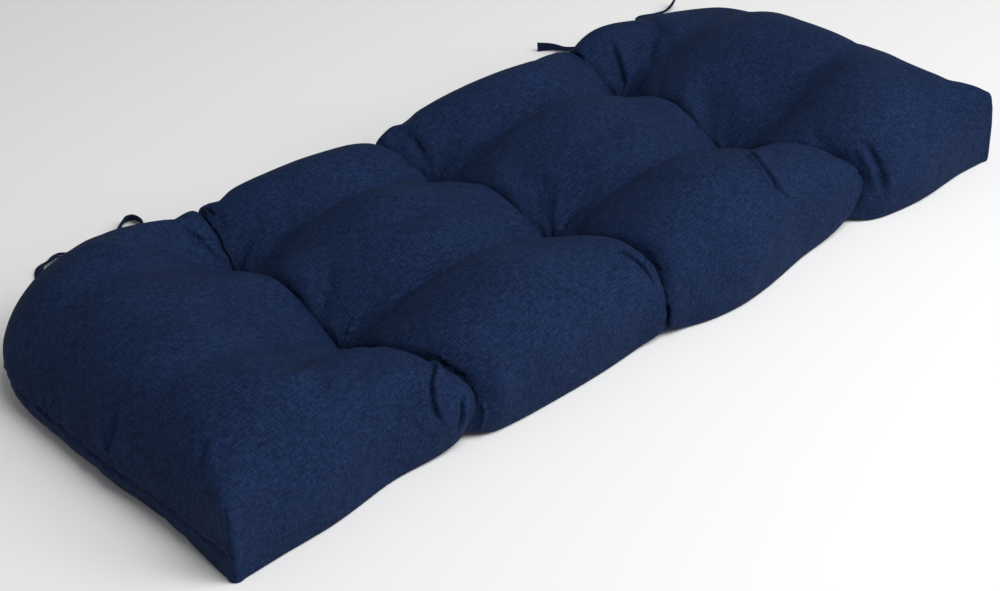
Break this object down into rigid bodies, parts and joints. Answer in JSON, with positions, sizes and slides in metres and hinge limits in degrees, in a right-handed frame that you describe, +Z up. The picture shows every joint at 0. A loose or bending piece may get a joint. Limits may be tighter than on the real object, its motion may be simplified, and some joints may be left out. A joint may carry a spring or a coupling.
{
  "type": "settee cushion",
  "caption": "Tufted settee seat cushion with pillowy quilted cells, square boxed front corners, rounded back corners and cloth tie tapes in the back seam.",
  "frame": {"origin": "middle of the underside, on the surface that the cushion lies on", "axes": "+X along the settee, +Y from the front edge with the square corners to the back edge with the rounded corners and the ties, +Z up out of the tufted face"},
  "size_m": [1.1187, 0.593, 0.1215],
  "materials": {
    "cover_cloth": "matt, linen-look slub weave",
    "tie_tape": "matt, folded and stitched cloth tape"
  },
  "bodies": {
    "root": {"cushion": "cover_cloth", "tie_left_outer": "tie_tape", "tie_left_inner": "tie_tape", "tie_right_inner": "tie_tape", "tie_right_outer": "tie_tape"}
  },
  "joints": []
}
